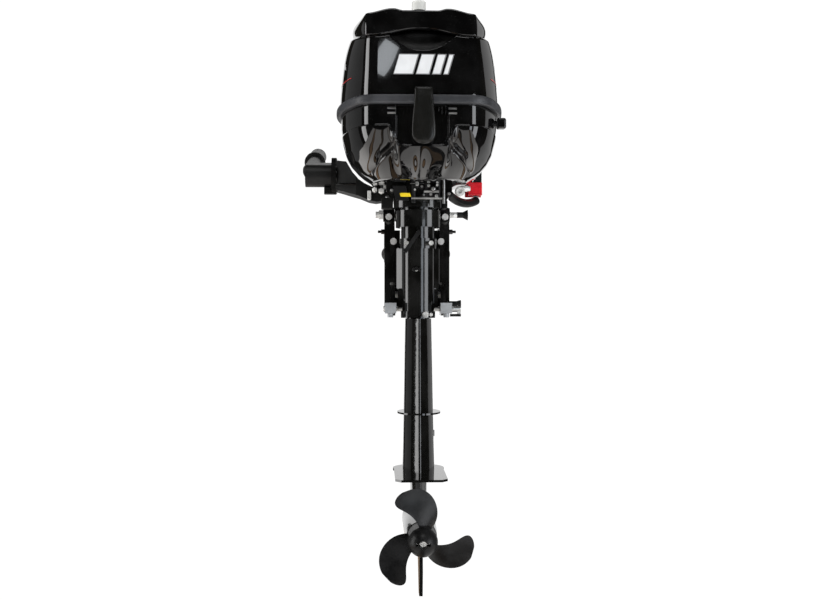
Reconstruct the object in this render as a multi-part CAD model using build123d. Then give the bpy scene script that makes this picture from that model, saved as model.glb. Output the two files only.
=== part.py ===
from build123d import *
import os
from math import atan, cos, degrees, pi, radians, sin, sqrt

# Portable short-shaft outboard motor, in millimetres.
# +X starboard, +Y forward towards the boat, +Z up.
# Origin: middle of the transom's top edge, at the transom's aft face.

# Driving dimensions
TRANSOM = 45.0  # transom thickness that the clamp is shown set for
JAW = 62.0  # aft face of the forward clamp arm
STEER_Y = -55.0  # vertical steering axis, also crankshaft and drive shaft
TILT_Y, TILT_Z = 20.0, 27.0  # tilt axis, along X
PROP_Z = -526.0  # propeller axis, along Y
PLATE_TOP, PLATE_BOTTOM = -431.0, -435.0  # anti-ventilation plate
SKEG_BOTTOM = -633.0
HUB_R, PROP_Y = 24.6, -228.0
PITCH = 132.0  # of the propeller
BLADE_STATIONS = (  # radius, chord, thickness, lag in degrees
    (20, 36, 9, -14),
    (33, 45, 7.5, -6),
    (46, 56, 6, 3),
    (59, 64, 5, 12),
    (70, 61, 4, 17),
    (79, 46, 3.2, 19),
    (85, 20, 2.6, 19),
)
GEAR_TEETH, PINION_TEETH, GEAR_MODULE = 28, 13, 1.3
STEER_TUBE_R = 21.0
SWIVEL_TOP, SWIVEL_BOTTOM, COLLAR_BOTTOM = 32.0, -152.0, -164.0
LEG_TOP = -165.0
LEG_STATIONS = (  # height, width, leading edge, trailing edge
    (LEG_TOP, 47, -26, -118),
    (-250, 50, -28, -124),
    (-340, 53, -29, -130),
    (PLATE_TOP, 57, -30, -138),
)
ENGINE_Z = 88.0  # height of the engine's mounting face
SEAL_LOW, SEAL_TOP = 187.0, 202.0
CAP_SEAM = 312.0  # joint between the upper cowl and its top cap
ROPE_X, ROPE_Z = 44.3, 233.0  # starter rope's straight run
FILLER_Y = -90.0
TILLER_Y, TILLER_Z, TILLER_RISE = 30.0, 100.0, 12.0  # pivot, and slope in degrees
CLAMP_X, CLAMP_Z, SCREW_R, TILT_R = 50.0, -45.0, 6.0, 6.0
THRUST_Y, THRUST_Z, THRUST_R = -14.0, -148.0, 5.0
SHAFT_R, PROP_SHAFT_R, SHIFT_Y, SHIFT_R = 5.0, 6.0, -41.5, 2.5
RUN = 0.05  # radial clearance of a running fit
GAP = 0.4  # clearance between separate castings
WALL = 3.0
BORE_Z = 140.0  # cylinder's axis, along Y
PLUG_X, PLUG_Y = 24.0, -193.0
COIL = (62, 88, -135, -108, 192, 216)  # low and high x, y and z of the ignition coil
RECOIL_TOP, TANK_Z = 248.0, 252.0
LATCH_Y, LATCH_Z = -247.0, 132.0
CHOKE_X, CHOKE_Z = -35.0, 150.0
COCK_Y, COCK_Z = -158.0, 170.0
SHIFT_LEVER_Y, SHIFT_LEVER_Z = 30.0, 150.0
GRIP_X = -204.0
STOP_X, STOP_Y, STOP_Z = 116.0, 80.0, 101.0

# Plan outlines of the cowls: height, greatest half width, rear face and its half
# width, front face and its half width.
BOWL = (
    (73, 78, -182, 48, 42, 40),
    (90, 103, -208, 66, 78, 52),
    (116, 121, -230, 82, 104, 62),
    (150, 135, -241, 90, 112, 66),
    (SEAL_LOW, 137, -245, 92, 115, 68),
)
HOOD = (
    (SEAL_TOP, 139, -247, 93, 116, 68),
    (240, 137, -246, 93, 114, 67),
    (276, 132, -244, 92, 111, 65),
    (CAP_SEAM, 124, -242, 91, 106, 62),
)
CAP = (
    (CAP_SEAM + GAP, 123, -242, 91, 105, 62),
    (336, 112, -239, 90, 98, 58),
    (351, 84, -226, 72, 76, 46),
)


def box(x0, x1, y0, y1, z0, z1):
    """Solid block between two corners."""
    return Pos((x0 + x1) / 2, (y0 + y1) / 2, (z0 + z1) / 2) * Box(x1 - x0, y1 - y0, z1 - z0)


def rod_x(y, z, x0, x1, r):
    return Pos((x0 + x1) / 2, y, z) * Rot(0, 90, 0) * Cylinder(r, x1 - x0)


def rod_y(x, z, y0, y1, r):
    return Pos(x, (y0 + y1) / 2, z) * Rot(90, 0, 0) * Cylinder(r, y1 - y0)


def rod_z(x, y, z0, z1, r):
    return Pos(x, y, (z0 + z1) / 2) * Cylinder(r, z1 - z0)


def cone_x(y, z, x0, x1, r0, r1):
    """Cone along X, of radius r0 at x0 and r1 at x1."""
    return Pos((x0 + x1) / 2, y, z) * Rot(0, 90, 0) * Cone(r0, r1, x1 - x0)


def cone_z(x, y, z0, z1, r0, r1):
    """Cone along Z, of radius r0 at z0 and r1 at z1."""
    return Pos(x, y, (z0 + z1) / 2) * Cone(r0, r1, z1 - z0)


def prism_x(points, x0, x1):
    """Outline of (y, z) points carried along X."""
    return extrude(Plane.YZ.offset(x0) * make_face(Polyline(points, close=True)), x1 - x0)


def prism_y(points, y0, y1):
    """Outline of (x, z) points carried along Y."""
    return extrude(Plane.XZ.offset(-y1) * make_face(Polyline(points, close=True)), y1 - y0)


def prism_z(points, z0, z1):
    """Outline of (x, y) points carried along Z."""
    return extrude(Plane.XY.offset(z0) * make_face(Polyline(points, close=True)), z1 - z0)


def across(shape):
    """The same shape on the other side of the centre plane."""
    return mirror(shape, about=Plane.YZ)


def save(name, *shapes):
    """Writes one node: a single solid, or a group of separate ones."""
    group = shapes[0] if len(shapes) == 1 else Compound(children=list(shapes))
    export_step(group, f"parts/{name}.step")


# ---------------------------------------------------------------- transom clamp


def clamp_bracket():
    """Starboard bracket: a web whose hook sits on the transom, a flange against the
    transom's aft face, a forward arm with the clamp screw's threaded boss, and a
    rope peg outside."""
    hook_top = [(4, 34), (12, 40), (28, 40), (56, 8), (80, 2)]
    web = [(JAW, 0), (0, 0), (0, -154), (-12, -160), (-58, -160), (-66, -150), (-60, -134), (-24, -100),
           (-16, -20)]
    web = prism_x(web + hook_top + [(80, -60), (JAW, -60)], 41, 50)
    hook = prism_x([(JAW, 0), (-7, 0)] + hook_top + [(80, -8), (JAW, -8)], 41, 60)
    flange = box(41, 60, -7, 0, -154, 0)
    arm = box(41, 60, JAW, 80, -60, -8)
    screw_boss = rod_y(CLAMP_X, CLAMP_Z, JAW, 82, 14)
    tilt_boss = rod_x(TILT_Y, TILT_Z, 41, 62, 13)
    thrust_boss = rod_x(THRUST_Y, THRUST_Z, 41, 54, 10)
    peg = rod_x(-3.5, -6, 60, 66, 4.5) + rod_x(-3.5, -6, 66, 72, 2.5)
    body = web + hook + flange + arm + screw_boss + tilt_boss + thrust_boss + peg
    body -= rod_y(CLAMP_X, CLAMP_Z, JAW - 1, 83, SCREW_R + RUN)
    body -= rod_x(TILT_Y, TILT_Z, 40, 63, TILT_R + RUN)
    for trim_step in range(2):
        body -= rod_x(THRUST_Y - 20 * trim_step, THRUST_Z, 40, 61, THRUST_R + RUN)
    return body


def transom_anode():
    """Starboard sacrificial block, with its nut, behind the bracket's lower aft corner."""
    block = box(39.5, 60, -78, -66 - GAP, -156, -137)
    return block, rod_z(50, -72, -163, -156, 5)


def bracket_hardware():
    """Round bolt heads on the bracket's aft edges, and the spacer tube that ties
    the two brackets together above the thrust rod."""
    heads = []
    for x, y, z in ((52, -7.2, 21), (43.5, -17.2, -24.5)):
        heads += [rod_y(x, z, y - 6, y, 6), rod_y(-x, z, y - 6, y, 6)]
    spacer = rod_x(-10, -122, -41, 41, 6)
    return heads + [spacer]


def tilt_bolt():
    """Pivot bolt, hollow at its starboard end for the tilt lock pin, with its nut."""
    bolt = rod_x(TILT_Y, TILT_Z, -76, 64, TILT_R)
    bolt -= rod_x(TILT_Y, TILT_Z, 20, 65, 3.1)
    nut = extrude(Plane.YZ.offset(-70) * Pos(TILT_Y, TILT_Z) * RegularPolygon(9.5, 6), 8)
    nut -= rod_x(TILT_Y, TILT_Z, -71, -61, TILT_R)
    return bolt, nut


def tilt_lock_knob():
    """Spring-loaded pin that locks the tilt, with its flared pull knob."""
    pin = rod_x(TILT_Y, TILT_Z, 22, 66, 3)
    knob = rod_x(TILT_Y, TILT_Z, 76, 87, 5.5) + cone_x(TILT_Y, TILT_Z, 87, 96, 5.5, 10)
    return pin + rod_x(TILT_Y, TILT_Z, 66, 76, 4) + knob


def thrust_rod():
    """Tilt-angle pin across both brackets, with a bar handle and a flared knob."""
    rod = rod_x(THRUST_Y, THRUST_Z, -62, 80, THRUST_R)
    bar = box(61, 80, THRUST_Y - 5, THRUST_Y + 5, THRUST_Z - 14, THRUST_Z - 10)
    knob_z = THRUST_Z + 9
    knob = rod_x(THRUST_Y, knob_z, 56, 73, 4.5) + cone_x(THRUST_Y, knob_z, 73, 80, 4.5, 6.5)
    return rod + bar + knob + box(74, 80, THRUST_Y - 4, THRUST_Y + 4, THRUST_Z - 14, knob_z)


def clamp_pad():
    """Starboard swivelling pad, with a blind socket for the screw's end."""
    pad = rod_y(CLAMP_X, CLAMP_Z, TRANSOM, TRANSOM + 4, 15) + rod_y(CLAMP_X, CLAMP_Z, TRANSOM + 4, TRANSOM + 9, 9)
    return pad - rod_y(CLAMP_X, CLAMP_Z, TRANSOM + 6, TRANSOM + 10, SCREW_R + RUN)


def clamp_screw():
    """Starboard clamp screw, with a collar outside the arm and its tommy bar."""
    screw = rod_y(CLAMP_X, CLAMP_Z, TRANSOM + 6.2, 118, SCREW_R) + rod_y(CLAMP_X, CLAMP_Z, 108, 120, 9)
    screw -= rod_z(CLAMP_X, 114, CLAMP_Z - 12, CLAMP_Z + 12, 4)
    bar = rod_z(CLAMP_X, 114, CLAMP_Z - 30, CLAMP_Z + 30, 4)
    return screw, bar


# ---------------------------------------------------------------- swivel bracket


def swivel_bracket():
    """Casting that tilts between the clamp brackets and carries the steering tube:
    tilt tube, neck, ribbed barrel, friction saddle and bottom collar."""
    bore_r = 23.0 + RUN
    barrel = rod_z(0, STEER_Y, SWIVEL_BOTTOM, SWIVEL_TOP, 29)
    wings = extrude(Plane.XY.offset(-112) * Pos(0, STEER_Y + 13) * Ellipse(38.5, 16), 74)
    lugs = box(-36, 36, STEER_Y + 2, STEER_Y + 22, SWIVEL_BOTTOM + 6, -112)
    shoulders = rod_z(0, STEER_Y, -2, SWIVEL_TOP - 4, 40)
    under = [(STEER_Y, -30), (STEER_Y + 30, -30), (-3, 12), (8, 12)]
    neck = prism_x(under + [(26, 20), (22, 36), (-8, 31), (STEER_Y, 31)], -30, 30)
    tilt_tube = rod_x(TILT_Y, TILT_Z, -40.5, 40.5, 12.5)
    saddle = rod_z(0, STEER_Y, -40, -22, 33)
    collar = rod_z(0, STEER_Y, COLLAR_BOTTOM, SWIVEL_BOTTOM, 31)
    heel = box(-20, 20, STEER_Y + 20, THRUST_Y - THRUST_R - GAP, THRUST_Z - 4, THRUST_Z + 8)
    body = barrel + wings + lugs + shoulders + neck + tilt_tube + saddle + collar + heel
    body -= rod_z(0, STEER_Y, SWIVEL_BOTTOM, SWIVEL_TOP + 1, bore_r)
    body -= rod_z(0, STEER_Y, COLLAR_BOTTOM - 1, SWIVEL_BOTTOM + 1, STEER_TUBE_R + 0.5)
    body -= rod_x(TILT_Y, TILT_Z, -41, 41, TILT_R + RUN)
    for fitting in swivel_fittings():
        body -= fitting
    return body


def swivel_bushings():
    """Flangeless plastic bushes at the top and bottom of the barrel."""
    rings = []
    for z0 in (SWIVEL_TOP - 20, SWIVEL_BOTTOM):
        ring = rod_z(0, STEER_Y, z0, z0 + 20, 23.0)
        rings.append(ring - rod_z(0, STEER_Y, z0 - 1, z0 + 21, STEER_TUBE_R + RUN))
    return rings


def swivel_fittings():
    """Bolts of the friction saddle and bottom collar, and the grease nipple."""
    saddle_y = STEER_Y - 33
    fittings = [rod_y(x, -31, saddle_y - 5, saddle_y + 8, 4) for x in (-22, 22)]
    collar_y = STEER_Y - 31
    fittings += [rod_y(x, -158, collar_y - 4, collar_y + 4, r) for x, r in ((12, 5.5), (22, 3))]
    fittings.append(rod_y(-4, -78, STEER_Y - 35, STEER_Y - 29, 3))
    return fittings


def steering_friction_lever():
    """Slotted bar that tightens the friction saddle, on its own pivot."""
    y = STEER_Y - 46
    pivot = rod_y(0, -12, y, STEER_Y - 29 - GAP, 4)
    bar = Pos(-12, y - 2, -29) * Rot(0, -145, 0) * Box(7, 5, 46)
    return pivot + bar


# ---------------------------------------------------------------- drive leg


def foil(z, width, front, rear):
    """Streamlined section at height z: full nose, thin tail."""
    chord = front - rear
    side = []
    for k in range(9):
        s = (1 - cos(pi * k / 8)) / 2
        thick = 2.6 * sqrt(s) * (1 - s) ** 0.8 / 1.09
        side.append((width / 2 * min(1.0, thick), front - chord * s))
    points = side + [(-x, y) for x, y in reversed(side[1:-1])]
    return Plane.XY.offset(z) * make_face(Spline(points, periodic=True))


def leg_sections(inset):
    """Outer leg sections, or its inner ones when inset by the wall."""
    return [foil(z, w - 2 * inset, front - inset, rear + 4 * inset) for z, w, front, rear in LEG_STATIONS]


def drive_shaft_housing():
    """Steering tube and hollow leg in one casting, with the oval splash plate."""
    tube = rod_z(0, STEER_Y, LEG_TOP - 2, SWIVEL_TOP, STEER_TUBE_R)
    leg = loft(leg_sections(0))
    splash = extrude(Plane.XY.offset(-331.5) * Pos(0, -88) * Ellipse(38.2, 50), 3)
    boss = rod_x(-52, -372, 0, 29.5, 6)
    cavity = loft(leg_sections(3.5))
    throat = rod_z(0, STEER_Y, LEG_TOP - 6, SWIVEL_TOP + 1, 17)
    return tube + leg + splash + boss - cavity - throat


def gearcase():
    """Lower unit: anti-ventilation plate, strut, torpedo with its gear cavity,
    and skeg."""
    edge = [(44, -83), (44, -200), (34, -212)]
    nose = ThreePointArc((-44, -83), (0, -25), (44, -83))
    rim = Polyline(edge + [(-x, y) for x, y in reversed(edge)])
    plate = extrude(Plane.XY.offset(PLATE_BOTTOM) * make_face(nose + rim), PLATE_TOP - PLATE_BOTTOM)
    strut = loft([foil(PLATE_BOTTOM, 30, -28, -158), foil(PROP_Z + 10, 29, -20, -172)])
    profile = Spline((25, 0), (10, 18), (-20, 27), (-60, 28), (-150, 28), (-205, 25.5))
    half = make_face(profile + Polyline((-205, 25.5), (-205, 0), (25, 0)))
    prop_axis = Axis((0, 0, PROP_Z), (0, 1, 0))
    torpedo = revolve(Plane((0, 0, PROP_Z), x_dir=(0, 1, 0), z_dir=(1, 0, 0)) * half, prop_axis, 360)
    skeg_front = [(-60, PROP_Z), (-120, -585), (-152, SKEG_BOTTOM)]
    skeg_rear = [(-178, SKEG_BOTTOM), (-186, -590), (-180, PROP_Z)]
    body = plate + strut + torpedo + prism_x(skeg_front + skeg_rear, -3, 3)
    body -= rod_y(0, PROP_Z, -206, -28, 21)
    body -= rod_y(0, PROP_Z, -28, -8, PROP_SHAFT_R + RUN)
    body -= rod_z(0, STEER_Y, PROP_Z + 15, PLATE_TOP + 1, 10)
    return body - rod_z(0, SHIFT_Y, -499, PLATE_TOP + 1, SHIFT_R + 0.2)


def water_pump_housing():
    """Pump body on top of the gearcase, with a passage for the shift rod."""
    body = rod_z(0, STEER_Y, PLATE_TOP, PLATE_TOP + 22, 16.8)
    body -= rod_z(0, STEER_Y, PLATE_TOP - 1, PLATE_TOP + 17, 9.8)
    body -= rod_z(0, STEER_Y, PLATE_TOP, PLATE_TOP + 23, SHAFT_R + RUN)
    return body - rod_z(0, SHIFT_Y, PLATE_TOP - 1, PLATE_TOP + 23, SHIFT_R + 0.2)


def bearing_carrier():
    """Plug that closes the gear cavity and carries the propeller shaft."""
    plug = rod_y(0, PROP_Z, -205, -182, 20.95)
    return plug - rod_y(0, PROP_Z, -206, -181, PROP_SHAFT_R + RUN)


# ---------------------------------------------------------------- crank and propeller


def bevel_gear(teeth, mate_teeth, hub_r, hub_length, bore_r):
    """Straight bevel gear about Z, its pitch cone's tip at the origin. Its teeth stop
    short of the pitch cone, so a pair turns without touching."""
    pitch_r, height = teeth * GEAR_MODULE / 2, mate_teeth * GEAR_MODULE / 2
    small_end, short, depth = 0.67, 0.35, 1.6
    slope = atan(pitch_r / height)
    drop = short / sin(slope)
    gear = cone_z(0, 0, small_end * height + drop, height + drop, small_end * pitch_r, pitch_r)
    groove_x = (1 + small_end) / 2 * pitch_r
    groove_z = (1 + small_end) / 2 * height + drop
    width = 0.45 * pi * GEAR_MODULE * (1 + small_end) / 2
    for k in range(teeth):
        place = Rot(0, 0, 360 * k / teeth) * Pos(groove_x, 0, groove_z) * Rot(0, degrees(slope) - 90, 0)
        gear -= place * Box(3 * pitch_r, width, depth)
    gear += rod_z(0, 0, height + drop - 0.5, height + drop + hub_length, hub_r)
    return gear - rod_z(0, 0, 0, height + drop + hub_length + 1, bore_r)


def forward_gear():
    gear = bevel_gear(GEAR_TEETH, PINION_TEETH, 15, 9, PROP_SHAFT_R + 0.02)
    return Pos(0, STEER_Y, PROP_Z) * Rot(-90, 0, 0) * gear


def drive_shaft():
    """Vertical shaft with the pinion on its lower end."""
    shaft = rod_z(0, STEER_Y, PROP_Z + 13, ENGINE_Z + 3, SHAFT_R)
    pinion = Pos(0, STEER_Y, PROP_Z) * bevel_gear(PINION_TEETH, GEAR_TEETH, 7, 9, SHAFT_R + 0.02)
    return shaft, pinion


def impeller():
    """Flexible pump impeller with six vanes."""
    z0, z1 = PLATE_TOP + 1, PLATE_TOP + 16
    body = rod_z(0, STEER_Y, z0, z1, 6.6)
    for k in range(6):
        body += Pos(0, STEER_Y, (z0 + z1) / 2) * Rot(0, 0, 60 * k) * Pos(7.4, 0, 0) * Box(3.6, 1.4, z1 - z0)
    return body - rod_z(0, STEER_Y, z0 - 1, z1 + 1, SHAFT_R + 0.02)


def crankshaft():
    """Main journals with two webs, inside the crankcase."""
    shaft = rod_z(0, STEER_Y, ENGINE_Z + 3.2, 224, 9)
    for z in (120, 146):
        shaft += rod_z(0, STEER_Y, z, z + 10, 30)
    return shaft


def flywheel():
    """Finned flywheel keyed to the top of the crankshaft."""
    disc = rod_z(0, STEER_Y, 198, 208, 68) + rod_z(0, STEER_Y, 196, 218, 20)
    for k in range(16):
        disc += Pos(0, STEER_Y, 212) * Rot(0, 0, 22.5 * k) * Pos(52, 0, 0) * Box(26, 2.5, 9)
    return disc - rod_z(0, STEER_Y, 195, 219, 9.02)


def prop_shaft():
    """Propeller shaft, and the split pin across its aft end."""
    shaft = rod_y(0, PROP_Z, -266, -12, PROP_SHAFT_R)
    shaft -= rod_x(-262, PROP_Z, -7, 7, 1.5)
    return shaft, rod_x(-262, PROP_Z, -11, 11, 1.45)


def blade_section(radius, chord, thickness, lag):
    """Lens-shaped section across a blade, pitched by its radius and lagging by an
    angle behind the blade's root."""
    twist = atan(PITCH / (2 * pi * radius))
    a = radians(-lag)
    rake = 0.12 * (radius - HUB_R)
    centre = (radius * sin(a), PROP_Y - rake, radius * cos(a))
    chord_way = (cos(twist) * cos(a), sin(twist), -cos(twist) * sin(a))
    plane = Plane(centre, x_dir=chord_way, z_dir=(sin(a), 0, cos(a)))
    ends = (-chord / 2, 0), (chord / 2, 0)
    top = ThreePointArc(ends[0], (0, thickness / 2), ends[1])
    return plane * make_face(top + ThreePointArc(ends[1], (0, -thickness / 2), ends[0]))


def propeller():
    """Three broad blades, swept back against the turn, on a hub with a bullet nose.
    It turns clockwise seen from astern to drive forward."""
    blade = loft([blade_section(*station) for station in BLADE_STATIONS])
    hub = rod_y(0, 0, -250, -206, HUB_R)
    flat = Polyline((-274, 8), (-274, 0), (-250, 0), (-250, HUB_R))
    nose = make_face(ThreePointArc((-250, HUB_R), (-266, 18), (-274, 8)) + flat)
    hub += revolve(Plane((0, 0, 0), x_dir=(0, 1, 0), z_dir=(1, 0, 0)) * nose, Axis.Y, 360)
    for k in range(3):
        hub += Rot(0, 120 * k + 3, 0) * blade
    hub -= rod_y(0, 0, -280, -205, PROP_SHAFT_R + 0.02)
    hub -= box(-12, 12, -275, -258, -2.5, 2.5)
    return Pos(0, 0, PROP_Z) * hub


def clutch_dog():
    """Sliding dog on the propeller shaft, shown in forward gear."""
    sleeve = rod_y(0, PROP_Z, -66, -50, 10)
    return sleeve - rod_y(0, PROP_Z, -67, -49, PROP_SHAFT_R + RUN)


# ---------------------------------------------------------------- cowls


def cowl_face(z, half, rear, rear_half, front, front_half, inset=0.0, wide=-85.0):
    """Plan outline of a cowl: a flat rear and front joined by two tangent arcs each
    side that are widest at y = wide, with rounded corners."""
    half, rear, rear_half = half - inset, rear + inset, rear_half - inset * 0.6
    front, front_half = front - inset, front_half - inset * 0.6
    edges = Line((-rear_half, rear), (rear_half, rear))
    edges += TangentArc((half, wide), (rear_half, rear), tangent=(0, -1))
    edges += TangentArc((half, wide), (front_half, front), tangent=(0, 1))
    edges += Line((-front_half, front), (front_half, front))
    edges += TangentArc((-half, wide), (-rear_half, rear), tangent=(0, -1))
    edges += TangentArc((-half, wide), (-front_half, front), tangent=(0, 1))
    face = make_face(edges)
    corners = face.vertices().filter_by(lambda v: abs(v.Y - wide) > 5)
    return Plane.XY.offset(z) * fillet(corners, 12)


def shell(sections):
    """Loft of cowl sections, open at the last one, less its inside."""
    outer = loft([cowl_face(*s) for s in sections])
    inner = loft([cowl_face(*s, inset=WALL) for s in sections])
    return outer, inner


def lower_cowl():
    """Bowl that carries the engine base through its floor, with the latch's ears."""
    outer, inner = shell(BOWL)
    body = outer - (inner - box(-150, 150, -260, 130, 70, 73 + WALL))
    body -= box(-59, 59, -107, 6, 70, 80)
    for x in (-22, 22):
        body += box(x - 2.5, x + 2.5, -251, -226, 126, 139) - inner
    body -= rod_x(LATCH_Y, LATCH_Z, -30, 30, 3 + RUN)
    body -= rod_y(CHOKE_X, CHOKE_Z, 100, 120, 3.2)
    body -= rod_x(COCK_Y, COCK_Z, 100, 145, 5.2)
    body -= rod_x(SHIFT_LEVER_Y, SHIFT_LEVER_Z, 90, 145, 5.2)
    for side in (-1, 1):
        for z in (160, 168):
            body -= box(side * 42 - 8, side * 42 + 8, -250, -230, z, z + 3)
    return body


def cowl_seal():
    """Rubber band round the joint of the cowls, standing proud of both."""
    outer = loft([cowl_face(z, 146, -253, 96, 122, 72) for z in (SEAL_LOW, SEAL_TOP)])
    inner = loft([cowl_face(z, 134, -242, 90, 112, 66) for z in (SEAL_LOW - 1, SEAL_TOP + 1)])
    return outer - inner


def top_cowl():
    """Upper engine cover, open below, with a notch for the starter rope and a
    moulded hand-hold at the top of its rear face."""
    outer, inner = shell(HOOD)
    body = outer - (inner - box(-150, 150, -260, 130, CAP_SEAM - WALL, CAP_SEAM))
    body -= box(-100, 100, -170, 60, CAP_SEAM - WALL - 1, CAP_SEAM + 1)
    return body - box(ROPE_X - 7, ROPE_X + 7, 100, 130, SEAL_TOP - 1, ROPE_Z + 8)


def top_cap():
    """Separate moulded cap, with the fuel filler's hole."""
    outer, inner = shell(CAP)
    body = outer - (inner - box(-150, 150, -260, 130, CAP[-1][0] - WALL, CAP[-1][0] + 1))
    return body - rod_z(0, FILLER_Y, 300, 360, 33)


def cowl_latch():
    """Strap lever that holds the cowls together, on a pin at its foot."""
    outline = [(-253.6, 126), (-260, 122), (-265, 128), (-267, 200), (-264, 212), (-256, 212), (-253.6, 205)]
    strap = prism_x(outline, -17, 17)
    foot = box(-19, 19, -257, LATCH_Y + 4, LATCH_Z - 5, LATCH_Z + 5)
    return strap + foot + rod_x(LATCH_Y, LATCH_Z, -26, 26, 3)


def fuel_cap():
    """Filler cap with finger flutes."""
    cap = rod_z(0, FILLER_Y, 343, 379, 29) - rod_z(0, FILLER_Y, 342, 373, 23)
    for k in range(12):
        cap -= Pos(0, FILLER_Y, 361) * Rot(0, 0, 30 * k) * Pos(30.5, 0, 0) * Cylinder(3, 40)
    return cap


def vent_knob():
    return rod_z(0, FILLER_Y, 379 + GAP, 394, 12.5) + rod_z(0, FILLER_Y, 394, 396, 11)


# ---------------------------------------------------------------- engine


def engine_base():
    """Steering ring and block under the cowl that joins the engine to the leg."""
    body = rod_z(0, STEER_Y, SWIVEL_TOP + GAP, 46, 44)
    body += prism_y([(-50, 46), (50, 46), (58, 60), (58, ENGINE_Z), (-58, ENGINE_Z), (-58, 60)], -106, 5)
    body -= rod_z(0, STEER_Y, 30, ENGINE_Z + 1, 9)
    return body - rod_z(0, SHIFT_Y, 30, ENGINE_Z + 1, SHIFT_R + 0.2)


def engine_block():
    """Crankcase with its cavity, main bearings and finned cylinder barrel."""
    case = box(-55, 55, -115, 0, ENGINE_Z, 192)
    case -= box(-38, 38, -98, -12, 110, 168)
    case -= rod_z(0, STEER_Y, ENGINE_Z - 1, 193, 9 + RUN)
    case -= rod_z(0, SHIFT_Y, ENGINE_Z - 1, ENGINE_Z + 16, SHIFT_R + 0.2)
    case += rod_y(0, BORE_Z, -180, -115, 30)
    for k in range(6):
        case += box(-46, 46, -126 - 9 * k, -122 - 9 * k, BORE_Z - 42, BORE_Z + 42)
    return case - rod_y(0, BORE_Z, -181, -97, 21)


def piston():
    """Piston at the outer end of its stroke, with its gudgeon pin's hole."""
    crown = rod_y(0, BORE_Z, -172, -138, 20.9)
    return crown - rod_y(0, BORE_Z, -166, -137, 17) - rod_x(-150, BORE_Z, -22, 22, 5)


def cylinder_head():
    """Finned head with its valve cover, and a tapped boss for the spark plug."""
    head = box(-46, 46, -206, -180, BORE_Z - 42, BORE_Z + 42)
    cover = box(-34, 34, -219, -206, BORE_Z - 22, BORE_Z + 34)
    for k in range(7):
        head -= box(-47, -36, -207, -181, BORE_Z - 38 + 11 * k, BORE_Z - 34 + 11 * k)
    return head + cover - rod_z(PLUG_X, PLUG_Y, BORE_Z + 25, BORE_Z + 45, 6 + RUN)


def spark_plug():
    plug = rod_z(PLUG_X, PLUG_Y, BORE_Z + 30, BORE_Z + 46, 6)
    return plug + rod_z(PLUG_X, PLUG_Y, BORE_Z + 46, 204, 9)


def spark_plug_lead():
    """Ignition lead from the plug's cap to the coil."""
    coil_top = COIL[5]
    path = FilletPolyline((PLUG_X, PLUG_Y, 204), (PLUG_X, PLUG_Y, 230), (50, -160, 238), (75, -121, 236),
                          (75, -121, coil_top), radius=9)
    return sweep(Plane(path @ 0, z_dir=path % 0) * Circle(3), path=path)


def carburetor():
    """Carburettor on the port side, and the intake silencer ahead of it."""
    body = box(-88, -62, -96, -52, 118, 158) + rod_y(-75, 138, -112, -96, 14) + rod_x(-74, 138, -62, -55, 12)
    silencer = box(-92, -58, -51, 18, 116, 164)
    return body, silencer


def fuel_hose():
    """Hose from the tank's outlet to the carburettor."""
    bends = (-78, -60, TANK_Z), (-78, -60, 232), (-82, -92, 205), (-76, -84, 176), (-76, -84, 158)
    path = FilletPolyline(*bends, radius=12)
    return sweep(Plane(path @ 0, z_dir=path % 0) * Circle(3), path=path)


def fuel_tank():
    """Hollow tank over the starter, with its filler neck and two feet."""
    outer = fillet(box(-84, 84, -168, 28, TANK_Z, 306).edges().filter_by(Axis.Z), 24)
    inner = fillet(box(-81, 81, -165, 25, TANK_Z + WALL, 306 - WALL).edges().filter_by(Axis.Z), 21)
    neck = rod_z(0, FILLER_Y, 306 - WALL, 366, 21)
    feet = [box(x - 8, x + 8, STEER_Y - 8, STEER_Y + 8, RECOIL_TOP, TANK_Z) for x in (-40, 40)]
    return outer - inner + neck + feet - rod_z(0, FILLER_Y, 306 - WALL - 1, 367, 18)


def recoil_housing():
    """Starter housing over the flywheel, with the reel's post and the rope's guide."""
    cup = rod_z(0, STEER_Y, 192, RECOIL_TOP, 76) - rod_z(0, STEER_Y, 191, RECOIL_TOP - WALL, 72)
    cup += rod_z(0, STEER_Y, 227, RECOIL_TOP - 1, 6)
    cup -= box(-80, 80, STEER_Y - 80, STEER_Y - 30, 191, 214)
    cup -= box(ROPE_X - 8, ROPE_X + 8, -20, 30, ROPE_Z - 7, ROPE_Z + 7)
    arm = box(ROPE_X - 9, ROPE_X + 9, 8, 108, 218, 224) + box(ROPE_X - 9, ROPE_X + 9, 98, 108, 218, 244)
    return cup + arm - rod_y(ROPE_X, ROPE_Z, 90, 110, 2.6)


def starter_reel():
    reel = rod_z(0, STEER_Y, 227, 242, 42) - rod_z(0, STEER_Y, 226, 243, 6 + RUN)
    groove = rod_z(0, STEER_Y, ROPE_Z - 3, ROPE_Z + 3, 43) - rod_z(0, STEER_Y, ROPE_Z - 3, ROPE_Z + 3, 38)
    return reel - groove


def recoil_handle():
    """Moulded T-shaped grip, and the straight run of the starter rope."""
    grip = fillet(box(ROPE_X - 34, ROPE_X + 34, 130, 147, ROPE_Z - 9, ROPE_Z + 9).edges().filter_by(Axis.X), 7)
    neck = rod_y(ROPE_X, ROPE_Z, 117, 131, 6.5)
    rope = rod_y(ROPE_X, ROPE_Z, STEER_Y, 117, 2.0)
    return grip + neck, rope


# ---------------------------------------------------------------- controls


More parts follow.
